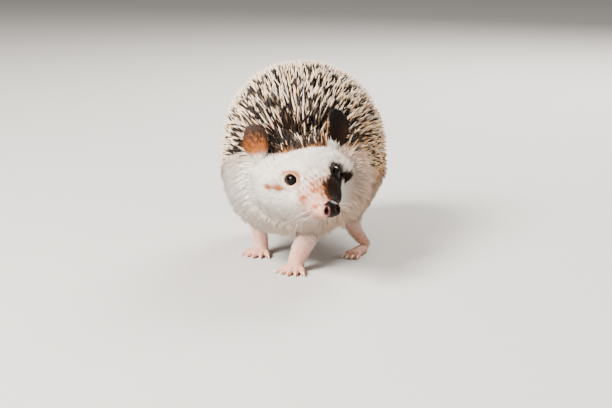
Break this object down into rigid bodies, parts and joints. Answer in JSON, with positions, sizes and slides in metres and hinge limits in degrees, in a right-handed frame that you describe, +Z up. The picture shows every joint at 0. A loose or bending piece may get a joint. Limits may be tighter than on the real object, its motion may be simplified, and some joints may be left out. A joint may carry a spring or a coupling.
{
  "type": "hedgehog model",
  "caption": "Life-size still model of a walking African pygmy hedgehog with its head turned aside, standing on flat soles.",
  "frame": {"origin": "on the floor, under the middle of the bounding box", "axes": "+Z up; the animal faces -Y and its left side is +X"},
  "size_m": [0.0874, 0.1712, 0.0975],
  "materials": {
    "quills": "dense smooth quills, banded white, near-black brown and cream",
    "fur": "soft white fur with tan wisps at its hems",
    "skin": "bare pink skin with fine white hair",
    "ear": "thin skin, dark brown and fuzzy at the rim",
    "nose": "wet black leather with a pink nostril rim",
    "eye": "wet, glossy black",
    "claw": "translucent pale horn"
  },
  "bodies": {
    "root": {"back": "quills", "belly": "fur", "claw_front_left_1": "claw", "claw_front_left_2": "claw", "claw_front_left_3": "claw", "claw_front_left_4": "claw", "claw_front_left_5": "claw", "claw_front_right_1": "claw", "claw_front_right_2": "claw", "claw_front_right_3": "claw", "claw_front_right_4": "claw", "claw_front_right_5": "claw", "claw_hind_left_1": "claw", "claw_hind_left_2": "claw", "claw_hind_left_3": "claw", "claw_hind_left_4": "claw", "claw_hind_right_1": "claw", "claw_hind_right_2": "claw", "claw_hind_right_3": "claw", "claw_hind_right_4": "claw", "ear_left": "ear", "ear_right": "ear", "eye_left": "eye", "eye_right": "eye", "foot_front_left": "skin", "foot_front_right": "skin", "foot_hind_left": "skin", "foot_hind_right": "skin", "head": "fur", "jaw": "fur", "leg_front_left": "fur", "leg_front_right": "fur", "leg_hind_left": "fur", "leg_hind_right": "fur", "nape": "quills", "nose": "nose", "ruff": "fur", "snout": "fur", "tail": "skin"}
  },
  "joints": []
}
